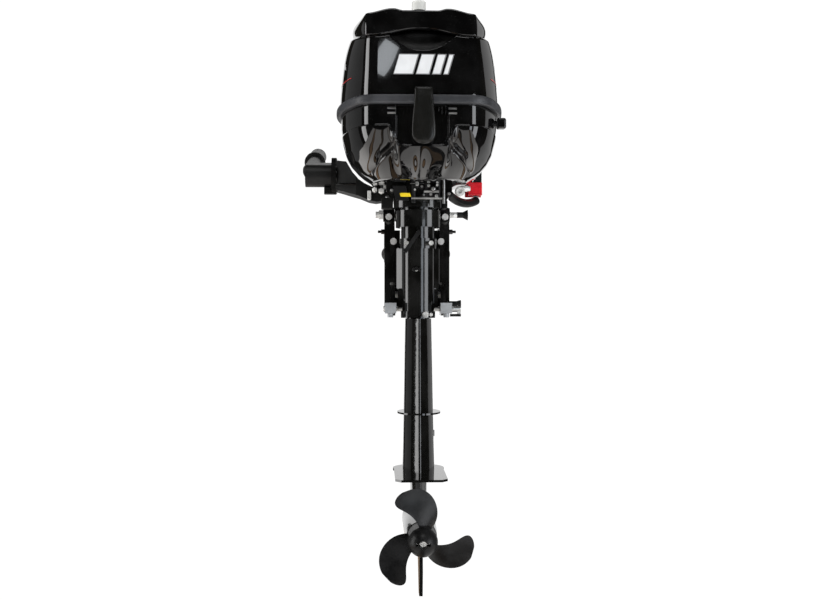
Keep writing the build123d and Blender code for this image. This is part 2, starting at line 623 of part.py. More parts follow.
def tiller_bracket():
    """Arm from the engine base out to port, ending in the tiller's pivot flange."""
    under = [(-58, 48), (-75, 46), (-88, 49), (-105, 57), (-137, 68), (-150, 72)]
    over = [(-150, 126), (-130, 122), (-118, 101), (-107, 88), (-96, 80), (-84, 74), (-58, 70)]
    plan = [(-58, -48), (-58, 5), (-70, 8), (-120, 44), (-150, 58), (-150, 2), (-112, -30)]
    arm = prism_y(under + over, -60, 70) & prism_z(plan, 40, 130)
    flange = rod_x(TILLER_Y, TILLER_Z, -158, -149, 34)
    stop = box(-172, -150, TILLER_Y - 10, TILLER_Y + 10, 66, 78)
    return arm + flange + stop - rod_x(TILLER_Y, TILLER_Z, -160, -138, 8)


def tiller_pivot_bolt():
    return rod_x(TILLER_Y, TILLER_Z, -196, -139, 7.95) + rod_x(TILLER_Y, TILLER_Z, -203, -196, 12)


def on_tiller(shape):
    """Turns a shape made about a level tiller, pivoting at the origin, into place."""
    return Pos(0, TILLER_Y, TILLER_Z) * Rot(TILLER_RISE, 0, 0) * shape


def tiller_arm():
    """Folding tiller: square root, tapering neck, tube and the grip's spigot."""
    root = rod_x(0, 0, -207, -158 - GAP, 21) + box(-207, -158 - GAP, 0, 44, -21, 21)
    back = Plane((-183, 44, 0), x_dir=(1, 0, 0), z_dir=(0, 1, 0))
    front = Plane((GRIP_X, 100, 0), x_dir=(1, 0, 0), z_dir=(0, 1, 0))
    neck = loft([back * RectangleRounded(46, 40, 6), front * RectangleRounded(28, 28, 12)])
    tube = rod_y(GRIP_X, 0, 99, 290, 14) + rod_y(GRIP_X, 0, 286, 298, 22) + rod_y(GRIP_X, 0, 298, 426, 9)
    body = root + neck + tube
    body -= rod_x(0, 0, -197, -158, 8 + RUN) + rod_x(0, 0, -208, -195.5, 12.3)
    return on_tiller(body)


def throttle_grip():
    """Ribbed twist grip on the tiller's spigot."""
    grip = rod_y(GRIP_X, 0, 299, 434, 18.5)
    for k in range(12):
        grip -= Pos(GRIP_X, 360, 0) * Rot(0, 30 * k, 0) * Pos(19.5, 0, 0) * Box(3, 100, 3)
    return on_tiller(grip - rod_y(GRIP_X, 0, 298, 427, 9 + RUN))


def choke_knob():
    return rod_y(CHOKE_X, CHOKE_Z, 60, 118, 3) + rod_y(CHOKE_X, CHOKE_Z, 118, 134, 9)


def fuel_cock_lever():
    """Fuel cock's spindle and its grooved thumb turn, under the seal."""
    turn = box(132, 145, COCK_Y - 8, COCK_Y + 8, COCK_Z - 8.5, COCK_Z + 8.5)
    return rod_x(COCK_Y, COCK_Z, 104, 132, 5) + fillet(turn.edges().filter_by(Axis.X), 4)


def shift_lever():
    """Gear lever on the starboard side, pointing forward."""
    spindle = rod_x(SHIFT_LEVER_Y, SHIFT_LEVER_Z, 96, 122, 5)
    hub = rod_x(SHIFT_LEVER_Y, SHIFT_LEVER_Z, 121, 127, 11)
    return spindle + hub + box(121, 127, SHIFT_LEVER_Y, SHIFT_LEVER_Y + 62, SHIFT_LEVER_Z - 7, SHIFT_LEVER_Z + 7)


def shift_rod():
    return rod_z(0, SHIFT_Y, -492, ENGINE_Z + 8, SHIFT_R)


def stop_switch():
    """Ribbed switch body on a short arm off the carry handle."""
    body = box(STOP_X - 10, STOP_X + 10, STOP_Y - 24, STOP_Y, STOP_Z - 11, STOP_Z + 13)
    for k in range(4):
        body -= box(STOP_X - 11, STOP_X + 11, STOP_Y - 25, STOP_Y - 22, STOP_Z - 7 + 5 * k, STOP_Z - 5 + 5 * k)
    body += box(STOP_X - 6, STOP_X + 6, STOP_Y - 22, STOP_Y - 8, 66, STOP_Z - 10)
    return body - rod_y(STOP_X, STOP_Z, STOP_Y - 16, STOP_Y + 1, 4 + RUN)


def stop_button():
    return rod_y(STOP_X, STOP_Z, STOP_Y - 12, STOP_Y + 9, 4) + rod_y(STOP_X, STOP_Z, STOP_Y + 9, STOP_Y + 15, 7.5)


def stop_clip():
    """Forked lanyard clip behind the stop button's head, pulled off downwards."""
    y0 = STOP_Y + 1
    clip = box(96, 127, y0, y0 + 5, 66, STOP_Z + 8)
    clip -= box(STOP_X - 4.5, STOP_X + 4.5, y0 - 1, y0 + 6, STOP_Z - 4.5, STOP_Z + 9)
    return clip


def carry_handle():
    """Curved moulded handle from the engine base out to starboard."""
    path = ThreePointArc((58, -20, 62), (92, 30, 50), (STOP_X, STOP_Y - 15, 58))
    handle = sweep(Plane(path @ 0, z_dir=path % 0) * Circle(8), path=path)
    return handle - box(40, 58, -60, 20, 40, 80)


def main():
    os.makedirs("parts", exist_ok=True)
    for name, make in (("clamp_bracket", clamp_bracket), ("clamp_pad", clamp_pad)):
        save(f"{name}_starboard", make())
        save(f"{name}_port", across(make()))
    save("clamp_screw_starboard", *clamp_screw())
    save("clamp_screw_port", *[across(piece) for piece in clamp_screw()])
    anode = transom_anode()
    save("transom_anodes", *anode, *[across(piece) for piece in anode])
    groups = (bracket_hardware, tilt_bolt, swivel_bushings, swivel_fittings, drive_shaft, prop_shaft, carburetor,
              recoil_handle)
    for make in groups:
        save(make.__name__, *make())
    singles = (tilt_lock_knob, thrust_rod, swivel_bracket, steering_friction_lever, drive_shaft_housing, gearcase,
               water_pump_housing, bearing_carrier, forward_gear, impeller, crankshaft, flywheel, propeller,
               clutch_dog, lower_cowl, cowl_seal, top_cowl, top_cap, cowl_latch, fuel_cap, vent_knob, engine_base,
               engine_block, piston, cylinder_head, spark_plug, spark_plug_lead, fuel_hose, fuel_tank,
               recoil_housing, starter_reel, tiller_bracket, tiller_pivot_bolt, tiller_arm, throttle_grip,
               choke_knob, fuel_cock_lever, shift_lever, shift_rod, stop_switch, stop_button, stop_clip,
               carry_handle)
    for make in singles:
        save(make.__name__, make())
    save("ignition_coil", box(*COIL))


main()
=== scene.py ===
import bmesh
import bpy
import numpy as np
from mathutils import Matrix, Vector


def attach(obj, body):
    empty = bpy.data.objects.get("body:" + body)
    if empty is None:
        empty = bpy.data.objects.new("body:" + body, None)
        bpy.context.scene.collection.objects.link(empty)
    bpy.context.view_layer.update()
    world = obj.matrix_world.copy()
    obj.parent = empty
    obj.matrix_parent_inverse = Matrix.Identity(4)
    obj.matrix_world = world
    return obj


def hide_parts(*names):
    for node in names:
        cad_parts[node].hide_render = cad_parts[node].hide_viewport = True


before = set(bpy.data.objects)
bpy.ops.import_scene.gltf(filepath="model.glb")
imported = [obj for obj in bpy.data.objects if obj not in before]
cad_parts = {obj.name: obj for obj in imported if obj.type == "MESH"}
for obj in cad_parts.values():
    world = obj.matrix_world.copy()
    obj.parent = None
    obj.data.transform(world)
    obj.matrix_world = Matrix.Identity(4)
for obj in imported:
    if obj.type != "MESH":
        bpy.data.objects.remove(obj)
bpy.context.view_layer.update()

# ---------------------------------------------------------------------------
# Camera. It stands two metres behind the motor and a little to port, level with
# the middle of the leg, and looks forward along the boat.
# ---------------------------------------------------------------------------
eye = Vector((-0.082, -2.053, -0.132))
aim = Vector((0.0036, -0.055, -0.132))
lens = bpy.data.cameras.new("viewpoint")
lens.lens, lens.sensor_width = 47.57, 36.0
lens.clip_start, lens.clip_end = 0.05, 60.0
viewpoint = bpy.data.objects.new("viewpoint", lens)
viewpoint.location = eye
viewpoint.rotation_euler = (aim - eye).to_track_quat("-Z", "Y").to_euler()
bpy.context.scene.collection.objects.link(viewpoint)
bpy.context.scene.camera = viewpoint
bpy.context.scene.view_settings.view_transform = "Standard"


# ---------------------------------------------------------------------------
# Studio. A white round wall and a white floor surround the motor; both are
# there to be seen only, so black gloss keeps its depth. The light comes from
# soft boxes, and pale cards under and behind the motor show in its gloss.
# ---------------------------------------------------------------------------
class Shade:
    """A socket of the material being made. Sums and products of it add Math nodes."""

    def __init__(self, tree, socket=None):
        self.tree, self.socket = tree, socket

    def node(self, kind, settings=None, inputs=None, output=0):
        """Adds one node of any kind: its settings first, then the values or links of its sockets."""
        made = self.tree.nodes.new(kind)
        for name, value in (settings or {}).items():
            setattr(made, name, value)
        for key, value in (inputs or {}).items():
            if isinstance(value, Shade):
                self.tree.links.new(value.socket, made.inputs[key])
            else:
                made.inputs[key].default_value = value
        return Shade(self.tree, made.outputs[output] if made.outputs else None)

    def math(self, operation, *values):
        return self.node("ShaderNodeMath", {"operation": operation}, dict(enumerate(values)))

    def __add__(self, other):
        return self.math("ADD", self, other)

    def __radd__(self, other):
        return self.math("ADD", other, self)

    def __mul__(self, other):
        return self.math("MULTIPLY", self, other)

    def __rmul__(self, other):
        return self.math("MULTIPLY", other, self)

    def between(self, low, high):
        """0 below low, 1 above high, and a smooth step from one to the other."""
        return self.node("ShaderNodeMapRange", {"interpolation_type": "SMOOTHSTEP"},
                         {"Value": self, "From Min": low, "From Max": high})

    def blend(self, first, second):
        """A colour that goes from first at 0 to second at 1."""
        return self.node("ShaderNodeMix", {"data_type": "RGBA"}, {0: self, 6: first, 7: second}, 2)


def emitter(name, colour, strength):
    """A material that only shines, for the wall, the floor and the cards."""
    made = bpy.data.materials.new(name)
    made.use_nodes = True
    made.node_tree.nodes.clear()
    start = Shade(made.node_tree)
    glow = start.node("ShaderNodeEmission", None, {"Color": (*colour, 1.0), "Strength": strength})
    start.node("ShaderNodeOutputMaterial", None, {"Surface": glow})
    return made


def grid_mesh(name, grid, rows_close=False, columns_close=False):
    """Mesh of a grid of points, rows by columns by xyz in metres: each four neighbours make a
    face, the last row or column may join the first, and points that coincide become one."""
    rows, columns = grid.shape[:2]
    index = np.arange(rows * columns).reshape(rows, columns)
    if rows_close:
        index = np.vstack([index, index[:1]])
    if columns_close:
        index = np.hstack([index, index[:, :1]])
    quads = np.stack([index[:-1, :-1], index[:-1, 1:], index[1:, 1:], index[1:, :-1]], axis=-1)
    mesh = bpy.data.meshes.new(name)
    mesh.from_pydata(grid.reshape(-1, 3), [], quads.reshape(-1, 4))
    work = bmesh.new()
    work.from_mesh(mesh)
    bmesh.ops.remove_doubles(work, verts=work.verts, dist=2e-6)
    work.to_mesh(mesh)
    work.free()
    mesh.polygons.foreach_set("use_smooth", np.ones(len(mesh.polygons), dtype=bool))
    mesh.update()
    return mesh


def place(name, mesh, material):
    """Puts a mesh in the scene at the origin, with its material."""
    made = bpy.data.objects.new(name, mesh)
    bpy.context.scene.collection.objects.link(made)
    mesh.materials.append(material)
    return made


FLOOR_Z = -1.15
turn = np.linspace(0, 2 * np.pi, 97)[:-1]
# The room's profile: radius and height above the floor, in metres.
room_profile = np.array([(0, 0), (3, 0), (6, 0), (8, 0.05), (8.7, 0.3), (9, 1), (9, 4), (9, 8), (6, 10),
                         (0, 10.5)])
room_r, room_z = room_profile[:, :1], np.repeat(room_profile[:, 1:] + FLOOR_Z, len(turn), axis=1)
room_grid = np.stack([room_r * np.cos(turn), room_r * np.sin(turn), room_z], axis=-1)
room = place("studio_room", grid_mesh("studio_room", room_grid, columns_close=True),
             emitter("studio_white", (1.0, 1.0, 1.0), 1.05))
room.visible_glossy = room.visible_diffuse = room.visible_shadow = room.visible_transmission = False

# Cards that show in reflections only: centre, half side, half height, colour, strength.
CARDS = {
    "card_behind": ((0.0, 3.2, 0.2), (1.0, 0, 0), (0, 0, 2.4), (1.0, 1.0, 1.0), 0.8),
    "card_floor_port": ((-0.56, -0.2, -1.1), (0.36, 0, 0), (0, 3.0, 0), (1.0, 0.97, 0.94), 0.85),
    "card_floor_port_far": ((-1.75, -0.2, -1.1), (0.45, 0, 0), (0, 3.0, 0), (1.0, 0.97, 0.94), 0.9),
    "card_floor_brown": ((-1.1, -0.2, -1.1), (0.12, 0, 0), (0, 3.0, 0), (0.62, 0.4, 0.24), 0.7),
    "card_floor_middle": ((-0.1, -0.2, -1.1), (0.06, 0, 0), (0, 3.0, 0), (0.62, 0.42, 0.26), 0.35),
    "card_floor_starboard": ((0.5, -0.2, -1.1), (0.42, 0, 0), (0, 3.0, 0), (1.0, 0.98, 0.96), 0.85),
    "card_floor_starboard_brown": ((1.05, -0.2, -1.1), (0.08, 0, 0), (0, 3.0, 0), (0.62, 0.42, 0.26), 0.7),
    "card_floor_starboard_far": ((1.6, -0.2, -1.1), (0.35, 0, 0), (0, 3.0, 0), (1.0, 0.98, 0.96), 0.9),
    "card_above": ((0.0, -1.4, 2.7), (0.9, 0, 0), (0, 0.45, 0), (1.0, 1.0, 1.0), 2.2),
    "card_patch": ((-0.26, -3.0, 1.14), (0.07, 0.0, -0.036), (-0.075, 0.0, -0.085), (0.9, 0.95, 1.0), 4.0),
    "card_port": ((-3.0, 0.0, 0.1), (0.0, 0.6, 0.0), (0, 0, 1.6), (1.0, 1.0, 1.0), 3.0),
    "card_port_far": ((-2.4, 2.2, 0.1), (0.6, 0.7, 0.0), (0, 0, 1.4), (1.0, 1.0, 1.0), 0.1),
    "card_starboard": ((2.1, -1.3, -0.35), (0.3, 0.5, 0.0), (0, 0, 0.98), (0.93, 0.96, 1.0), 3.0),
    "card_starboard_near": ((1.2, -2.4, -0.3), (0.3, 0.17, 0.0), (0, 0, 0.5), (0.85, 0.92, 1.0), 2.5),
    "card_starboard_far": ((1.9, 2.4, 0.2), (0.6, -0.5, 0.0), (0, 0, 1.3), (1.0, 1.0, 1.0), 0.25),
}
for name, (centre, side, height, colour, strength) in CARDS.items():
    signs = np.array([-1.0, 1.0])
    corners = (np.array(centre) + signs[:, None, None] * np.array(height)
               + signs[None, :, None] * np.array(side))
    card = place(name, grid_mesh(name, corners), emitter(name, colour, strength))
    card.visible_camera = card.visible_shadow = False


def softbox(name, place_at, look_at, width, height, watts):
    """A rectangular area light, turned to face a point."""
    light = bpy.data.lights.new(name, "AREA")
    light.shape, light.size, light.size_y, light.energy = "RECTANGLE", width, height, watts
    made = bpy.data.objects.new(name, light)
    made.location = place_at
    made.rotation_euler = (Vector(look_at) - Vector(place_at)).to_track_quat("-Z", "Y").to_euler()
    made.visible_camera = made.visible_glossy = False
    bpy.context.scene.collection.objects.link(made)


softbox("light_port", (-2.6, -1.6, 0.6), (0, -0.05, 0.0), 1.2, 2.4, 70)
softbox("light_starboard", (2.6, -1.4, 0.5), (0, -0.05, 0.0), 1.2, 2.4, 60)
softbox("light_above", (0.2, -0.6, 3.0), (0, -0.05, 0.1), 2.0, 2.0, 60)
softbox("light_below", (0.0, -1.4, -1.05), (0, -0.1, 0.0), 2.0, 1.2, 30)
softbox("light_fore", (0.6, 3.0, 1.0), (0, 0, 0.0), 1.6, 2.0, 50)

world = bpy.data.worlds.new("studio_dark")
world.use_nodes = True
world.node_tree.nodes["Background"].inputs["Color"].default_value = (0.0105, 0.0098, 0.008, 1.0)
bpy.context.scene.world = world


# ---------------------------------------------------------------------------
# Finishes of the pieces that come from the CAD as they are. Castings and covers
# are black: the leg glossy, the brackets satin, and the fastenings plain steel.
# ---------------------------------------------------------------------------
def finish(name, colour, rough, metal=0.0, coat=0.0, grain=900.0, bump=0.05, stain=0.15, dust=0.0,
           shine=0.5):
    """A made surface. Its colour wanders by the share stain over hand-sized clouds, and its
    roughness over finger-sized ones. grain is the bumps to the metre, bump their strength, and
    dust the share of the pale specks that lie on it; shine is the specular level."""
    made = bpy.data.materials.new(name)
    made.use_nodes = True
    tree = made.node_tree
    shader = tree.nodes["Principled BSDF"]
    start = Shade(tree)
    spot = start.node("ShaderNodeTexCoord", None, None, 3)

    def noise(scale, detail):
        return start.node("ShaderNodeTexNoise", None, {"Vector": spot, "Scale": scale, "Detail": detail})

    dark = (*(c * (1 - stain) for c in colour), 1.0)
    light = (*(min(1.0, c * (1 + stain) + 0.012 * stain) for c in colour), 1.0)
    tone = noise(28.0, 4.0).between(0.35, 0.65).blend(dark, light)
    if dust:
        tone = (noise(700.0, 1.0).between(0.72, 0.8) * dust).blend(tone, (0.4, 0.4, 0.38, 1.0))
    tree.links.new(tone.socket, shader.inputs["Base Color"])
    tree.links.new((rough * (0.8 + 0.4 * noise(120.0, 3.0))).socket, shader.inputs["Roughness"])
    shader.inputs["Metallic"].default_value = metal
    shader.inputs["Specular IOR Level"].default_value = shine
    shader.inputs["Coat Weight"].default_value = coat
    shader.inputs["Coat Roughness"].default_value = 0.015
    relief = start.node("ShaderNodeBump", None,
                        {"Strength": bump, "Distance": 0.0004, "Height": noise(grain, 2.0)})
    tree.links.new(relief.socket, shader.inputs["Normal"])
    return made


FINISHES = {
    "castings": finish("bracket_black", (0.0028, 0.0028, 0.0026), 0.14, coat=0.8, bump=0.08, stain=0.3),
    "leg_paint": finish("leg_black", (0.0026, 0.0026, 0.0024), 0.1, coat=0.8, grain=300, bump=0.02),
    "cowl_gloss": finish("cowl_black", (0.0012, 0.0012, 0.0013), 0.06, coat=1.0, grain=120, bump=0.006,
                         dust=0.06),
    "bracket_satin": finish("tiller_bracket_black", (0.004, 0.004, 0.0038), 0.5, bump=0.2, shine=0.12),
    "rubber_seal": finish("band_rubber", (0.03, 0.031, 0.034), 0.42, bump=0.12, stain=0.2),
    "matte_black": finish("moulded_black", (0.006, 0.006, 0.006), 0.38, bump=0.15, stain=0.25, shine=0.3),
    "propeller": finish("propeller_black", (0.004, 0.004, 0.0042), 0.34, grain=500, bump=0.12,
                        stain=0.3, shine=0.28),
    "stainless": finish("stainless", (0.8, 0.8, 0.78), 0.3, metal=0.6, stain=0.08),
    "anode": finish("anode_zinc", (0.26, 0.27, 0.28), 0.5, metal=0.5, bump=0.4, stain=0.3),
    "steel": finish("steel", (0.55, 0.55, 0.54), 0.3, metal=0.9, stain=0.2),
    "raw_aluminium": finish("cast_aluminium", (0.5, 0.5, 0.5), 0.45, metal=0.8, bump=0.4, stain=0.2),
    "white_plastic": finish("white_plastic", (0.75, 0.75, 0.72), 0.35, stain=0.06),
    "red_plastic": finish("red_plastic", (0.5, 0.012, 0.02), 0.25, coat=0.4, stain=0.15),
    "tank": finish("tank_plastic", (0.55, 0.52, 0.44), 0.4, stain=0.08),
    "bush": finish("bush_plastic", (0.5, 0.47, 0.38), 0.45, stain=0.1),
    "hose": finish("hose_rubber", (0.012, 0.012, 0.012), 0.5, stain=0.2),
}
for node_name, node_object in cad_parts.items():
    for node_slot in node_object.material_slots:
        own = "bracket_satin" if node_name == "tiller_bracket" else node_slot.material.name.split(".")[0]
        node_slot.material = FINISHES[own]


# ---------------------------------------------------------------------------
# Upper cowl. One injection-moulded cover, gloss black, about 3 mm thick, with a
# near flat rear face, bowed flanks, and a crescent hand-hold sunk in the top of
# the rear face. It drops onto the rubber band and the latch holds it there.
# ---------------------------------------------------------------------------
WIDE_Y = -85.0          # where the cowl is widest, mm
BAND_TOP = 202.0
CROWN = 2.5             # how far the rear and front faces bow out in the middle, mm
SEAM_REAR, SEAM_FORE, SEAM_CLIMB = 300.0, 328.0, 0.168
REAR_COLUMNS, HALF_FLANK, FRONT_COLUMNS = 150, 90, 60
COLUMNS = REAR_COLUMNS + 4 * HALF_FLANK + FRONT_COLUMNS


def sliding_mean(values, reach, axis=1):
    """Mean of each value and its neighbours up to reach places away, round a closed row."""
    return sum(np.roll(values, k, axis) for k in range(-reach, reach + 1)) / (2 * reach + 1)


def smooth(value, low, high):
    """0 below low, 1 above high, 3t² - 2t³ between."""
    t = np.clip((value - low) / (high - low), 0, 1)
    return t * t * (3 - 2 * t)


def wall(sizes, round_by=5):
    """Plan of the cowl: x and y for arrays of half width, rear face, its half width, front face
    and its half width. The rear and front faces are lines bowed by CROWN. A flank is two arcs
    that meet at the widest point, where both run fore and aft: x = half - R (1 - cos t) and
    y = WIDE_Y -+ R sin t, with R = (dx² + dy²) / 2 dx for a corner that is dx further in and dy
    away. A sliding mean over 2 round_by + 1 columns rounds the corners."""
    rows = max(np.shape(size)[0] for size in sizes)
    cuts = np.cumsum([REAR_COLUMNS] + [HALF_FLANK] * 2 + [FRONT_COLUMNS, HALF_FLANK])
    parts = zip(*[np.split(np.broadcast_to(size, (rows, COLUMNS)), cuts, axis=1) for size in sizes])
    away = np.linspace(1, 0, HALF_FLANK, endpoint=False)
    towards = np.linspace(0, 1, HALF_FLANK, endpoint=False)

    def arc(part, share, aft, side):
        """A quarter of the outline, share of the way from the widest point to a corner."""
        half, rear, rear_half, front, front_half = part
        corner_y, corner_x = (rear, rear_half) if aft else (front, front_half)
        in_by, off = half - corner_x, np.abs(corner_y - WIDE_Y)
        radius = (in_by ** 2 + off ** 2) / (2 * in_by)
        t = np.arcsin(off / radius) * share
        return side * (half - radius * (1 - np.cos(t))), WIDE_Y + (-1 if aft else 1) * radius * np.sin(t)

    def face(part, across, aft):
        """The rear or front face, across from -1 at one corner to 1 at the other."""
        _, rear, rear_half, front, front_half = part
        at, half, sign = (rear, rear_half, -1) if aft else (front, front_half, 1)
        return half * across, at + sign * CROWN * (1 - across ** 2)

    rear_part, star_aft, star_fore, front_part, port_fore, port_aft = parts
    pieces = (face(rear_part, np.linspace(-1, 1, REAR_COLUMNS, endpoint=False), True),
              arc(star_aft, away, True, 1), arc(star_fore, towards, False, 1),
              face(front_part, np.linspace(1, -1, FRONT_COLUMNS, endpoint=False), False),
              arc(port_fore, away, False, -1), arc(port_aft, towards, True, -1))
    x, y = (np.hstack([piece[k] for piece in pieces]) for k in (0, 1))
    return sliding_mean(x, round_by), sliding_mean(y, round_by)


def fitted(table, height, degree):
    """The columns of a table of measured sizes at any height: a polynomial through each."""
    rows = np.array(table, float)
    middle, span = rows[:, 0].mean(), np.ptp(rows[:, 0]) / 2
    scaled = (rows[:, 0] - middle) / span
    return [np.polyval(np.polyfit(scaled, rows[:, k], degree), (height - middle) / span)
            for k in range(1, rows.shape[1])]


# Height, then half width, rear face, its half width, front face, its half width, all in mm.
HOOD = ((202, 139, -247, 88, 116, 68), (232, 137.7, -246.3, 87.5, 115, 67),
        (266, 134.3, -244.8, 87, 112, 65), (301, 128, -243, 87, 108, 63),
        (317, 122.5, -242, 87, 106, 62), (328, 116.5, -241, 86, 104, 61))


def seam_height(x, y):
    """Height of the joint between cowl and cap: 300 mm on the rear face, arched by 10 mm over
    the hand-hold, and climbing 0.168 mm for each millimetre forward along a flank, to 328."""
    arch = 10.5 * (1 - smooth(np.abs(x), 8.0, 74.0)) * (y < -200)
    return np.minimum(SEAM_REAR + SEAM_CLIMB * np.clip(y + 241.0, 0, 200), SEAM_FORE) + arch


plan_x, plan_y = wall(fitted(HOOD, np.full((1, COLUMNS), 310.0), 4))
seam_z = sliding_mean(seam_height(plan_x, plan_y), 3)
# The wall starts 4 mm down inside the band and ends at the seam.
hood_z = BAND_TOP - 4 + np.linspace(0, 1, 84)[:, None] * (seam_z - BAND_TOP + 4)
hood_x, hood_y = wall(fitted(HOOD, np.clip(hood_z, BAND_TOP, SEAM_FORE), 4), round_by=11)
# The wall's top edge rolls in by 3 mm to the joint.
REAR_FACE_Y = -225.0
roll = smooth(hood_z - seam_z, -5.0, 0.0) ** 2 * 3.0
hood_x -= roll * np.sign(hood_x) * (np.abs(hood_y - WIDE_Y) < 150)
hood_y += roll * (hood_y < REAR_FACE_Y)
# The hand-hold: the rear face is sunk by 9 to 19 mm inside a crescent whose lower edge is
# z = 275 + 26 (x / 56)².
HOLD_FOOT, HOLD_RISE, HOLD_HALF = 275.0, 26.0, 56.0
crescent = hood_z - (HOLD_FOOT + HOLD_RISE * (hood_x / HOLD_HALF) ** 2)
sunk = smooth(crescent, 0.0, 1.6) * (9.0 + 10.0 * smooth(crescent, 0.0, 26.0))
hood_y += sunk * (hood_y < REAR_FACE_Y) * (np.abs(hood_x) < HOLD_HALF + 6)
hood_grid = np.stack([hood_x, hood_y, hood_z], axis=-1)
# The edges turn in, 3 mm at the foot and 6 mm at the top, so that the wall shows its thickness.
inward = np.stack([np.sign(hood_x) * -1.0, np.sign(WIDE_Y - hood_y), 0 * hood_x], axis=-1)
foot, brim = hood_grid[:1] + inward[:1] * 3.0, hood_grid[-1:] + inward[-1:] * (3.0, 6.0, 0.0)
hood_grid = np.concatenate([foot, hood_grid, brim, brim - (0, 0, 4.0)])
hood = place("upper_cowl_cover", grid_mesh("upper_cowl_cover", hood_grid / 1000, columns_close=True),
             FINISHES["cowl_gloss"])
# The hand-hold is grained, so it doesn't shine.
middles = np.empty(len(hood.data.polygons) * 3)
hood.data.polygons.foreach_get("center", middles)
face_x, face_y, face_z = middles.reshape(-1, 3).T * 1000
hold_edge = HOLD_FOOT + 1.2 + HOLD_RISE * (face_x / HOLD_HALF) ** 2
in_hold = (face_y < -200) & (np.abs(face_x) < 60) & (face_z > hold_edge)
hood.data.materials.append(finish("pocket_black", (0.0008, 0.0007, 0.0006), 0.5, bump=0.3, stain=0.3))
hood.data.polygons.foreach_set("material_index", in_hold.astype(np.int32))
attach(hood, "upper_cowl")
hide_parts("top_cowl")

# ---------------------------------------------------------------------------
# Cap. A separate moulding that closes the top of the upper cowl and lets the
# filler through: a leaning side wall, a sharp shoulder, two low ridges that run
# forward, and a dish round the filler. The same gloss black.
# ---------------------------------------------------------------------------
CAP_GAP, SHOULDER_ROUND = 1.2, 1.2
DISH_Y, DISH_RADIUS = -90.0, 31.0       # the filler's axis and the hole round it
# The same sizes as above, at four steps from the joint to the shoulder.
CAP_STEPS = ((0.0, 114.5, -241.5, 91, 102, 60), (0.35, 117.0, -240, 91, 102, 60),
             (0.72, 114.5, -237.6, 90.5, 101, 59.5), (1.0, 107.0, -235.5, 89.5, 98, 58))


def lid_height(x, y):
    """Height of the cap's top. The shoulder climbs from 338 mm at the rear to 355 over the
    widest point; a ridge 7 mm high runs 45 mm each side of the middle, with a channel 4 mm
    high between, and a dish 12 mm deep goes round the filler."""
    shoulder = 338.5 + 16.5 * smooth(y, -241.0, -60.0) - 5.0 * smooth(y, 20.0, 110.0)
    side = np.abs(x + 3.0)
    ridge = 7.5 * (1 - smooth(side, 47.0, 88.0)) - 3.2 * (1 - smooth(side, 28.0, 44.0))
    dish = 12.0 * (1 - smooth(np.hypot(x, y - DISH_Y), 34.0, 52.0))
    return shoulder + ridge - dish


step = np.linspace(0, 1, 22)[:, None]
cap_x, cap_y = wall(fitted(CAP_STEPS, np.broadcast_to(step, (22, COLUMNS)), 3), round_by=4)
cap_x = cap_x - 2.5 * (1 - smooth(cap_y, -235.0, -150.0))
cap_low = seam_z + CAP_GAP
cap_z = cap_low + step * (lid_height(cap_x[-1:], cap_y[-1:]) - SHOULDER_ROUND - cap_low)
skirt_in = np.stack([cap_x[:1] * 0.93, cap_y[:1] * 0.94 + WIDE_Y * 0.06, cap_z[:1]], axis=-1)
side_wall = np.stack([cap_x, cap_y, cap_z], axis=-1)
# The lid runs from the rounded shoulder in to a circle of 31 mm round the filler.
share = np.concatenate([[0.004, 0.012, 0.022], np.linspace(0.035, 1, 60)])[:, None]
angle = np.arctan2(cap_y[-1:] - DISH_Y, cap_x[-1:])
lid_x = cap_x[-1:] * (1 - share) + DISH_RADIUS * np.cos(angle) * share
lid_y = cap_y[-1:] * (1 - share) + (DISH_RADIUS * np.sin(angle) + DISH_Y) * share
lid_z = lid_height(lid_x, lid_y) - SHOULDER_ROUND * (1 - np.clip(share / 0.022, 0, 1)) ** 2
lid = np.stack([lid_x, lid_y, lid_z], axis=-1)
cap_grid = np.concatenate([skirt_in, side_wall, lid, lid[-1:] - (0, 0, 10.0)])
cap = place("cowl_cap", grid_mesh("cowl_cap", cap_grid / 1000, columns_close=True),
            FINISHES["cowl_gloss"])
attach(cap, "upper_cowl")
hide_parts("top_cap")


# ---------------------------------------------------------------------------
# Rubber band. An extruded grey-black strip that closes the joint of the two
# cowls and takes knocks; its ends are butted under the latch.
# ---------------------------------------------------------------------------
def outward(x, y):
    """Unit vector pointing out of the cowl at each column, square to the plan's tangent."""
    tangent_x, tangent_y = (np.roll(v, -1, 1) - np.roll(v, 1, 1) for v in (x, y))
    size = np.hypot(tangent_x, tangent_y)
    return tangent_y / size, -tangent_x / size


# Cross-section of the band: how far it stands out of the wall, and its height.
BAND_SECTION = np.array([(-4, 187.2), (4.2, 187.2), (5.9, 188.0), (6.8, 189.8), (7.0, 192),
                         (7.1, 194.5), (7.0, 197.5), (6.6, 199.6), (5.6, 201.3), (4.0, 202),
                         (-4, 202)], float)
BAND_SIZES = (138.6, -246.4, 97.0, 116.0, 68.0)
band_x, band_y = wall([np.full((1, COLUMNS), size) for size in BAND_SIZES], round_by=14)
out_x, out_y = outward(band_x, band_y)
stand, band_z = BAND_SECTION[:, :1], np.repeat(BAND_SECTION[:, 1:], COLUMNS, axis=1)
band_grid = np.stack([band_x + stand * out_x, band_y + stand * out_y, band_z], axis=-1)
band = place("cowl_band", grid_mesh("cowl_band", band_grid / 1000, rows_close=True, columns_close=True),
             FINISHES["rubber_seal"])
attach(band, "motor")
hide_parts("cowl_seal")

